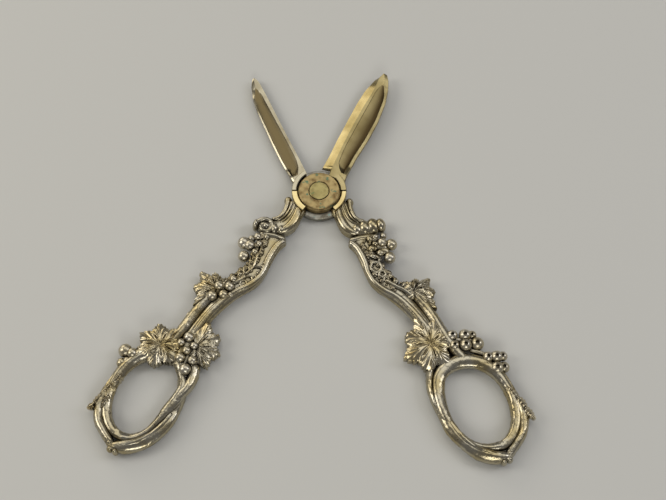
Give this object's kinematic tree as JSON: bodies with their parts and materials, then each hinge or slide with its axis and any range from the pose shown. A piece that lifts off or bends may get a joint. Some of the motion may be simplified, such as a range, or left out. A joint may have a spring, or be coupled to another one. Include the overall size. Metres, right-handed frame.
{
  "type": "grape scissors",
  "caption": "Ornate hinged grape scissors, open: two short blunt-tipped blades, a flush half-lap pivot and cast vine handles with leaves, grapes and finger loops.",
  "frame": {"origin": "centre of the pivot pin's lower end, on the flat underside of the joint", "axes": "+Z along the pivot, from the underside to the decorated front; +Y midway between the two blades, towards their tips; +X to the right seen from the front"},
  "size_m": [0.1494, 0.1511, 0.007],
  "materials": {
    "blade_steel": "hollow ground, worn bright at the edges, brown patina in the hollows",
    "pivot_steel": "filed flush, worn, brassy patina",
    "vine_silver": "plated casting, bark texture, dark in the recesses",
    "leaf_silver": "plated casting, veined, warm worn high spots",
    "grape_silver": "plated casting, polished by handling"
  },
  "bodies": {
    "lower_half": {"lower_blade": "blade_steel", "pivot_pin": "pivot_steel", "right_finger_ring": "vine_silver", "right_vine_stem": "vine_silver", "right_root_scroll": "vine_silver", "right_outer_strand": "vine_silver", "right_loop_branch": "vine_silver", "right_loop_twig": "vine_silver", "right_middle_leaf": "leaf_silver", "right_knuckle_leaf": "leaf_silver", "right_loop_leaf": "leaf_silver", "right_upper_grapes": "grape_silver", "right_knuckle_grapes": "grape_silver", "right_outer_grapes": "grape_silver"},
    "upper_half": {"upper_blade": "blade_steel", "left_finger_ring": "vine_silver", "left_vine_stem": "vine_silver", "left_root_scroll": "vine_silver", "left_outer_strand": "vine_silver", "left_loop_branch": "vine_silver", "left_loop_twig": "vine_silver", "left_middle_leaf": "leaf_silver", "left_knuckle_leaf": "leaf_silver", "left_loop_leaf": "leaf_silver", "left_inner_leaf": "leaf_silver", "left_upper_grapes": "grape_silver", "left_knuckle_grapes": "grape_silver", "left_outer_grapes": "grape_silver", "left_middle_grapes": "grape_silver"}
  },
  "joints": [
    {"name": "pivot", "type": "hinge", "parent": "lower_half", "child": "upper_half", "pos_m": [0, 0, 0], "axis": [0, 0, 1], "range_deg": [-2, 52]}
  ]
}
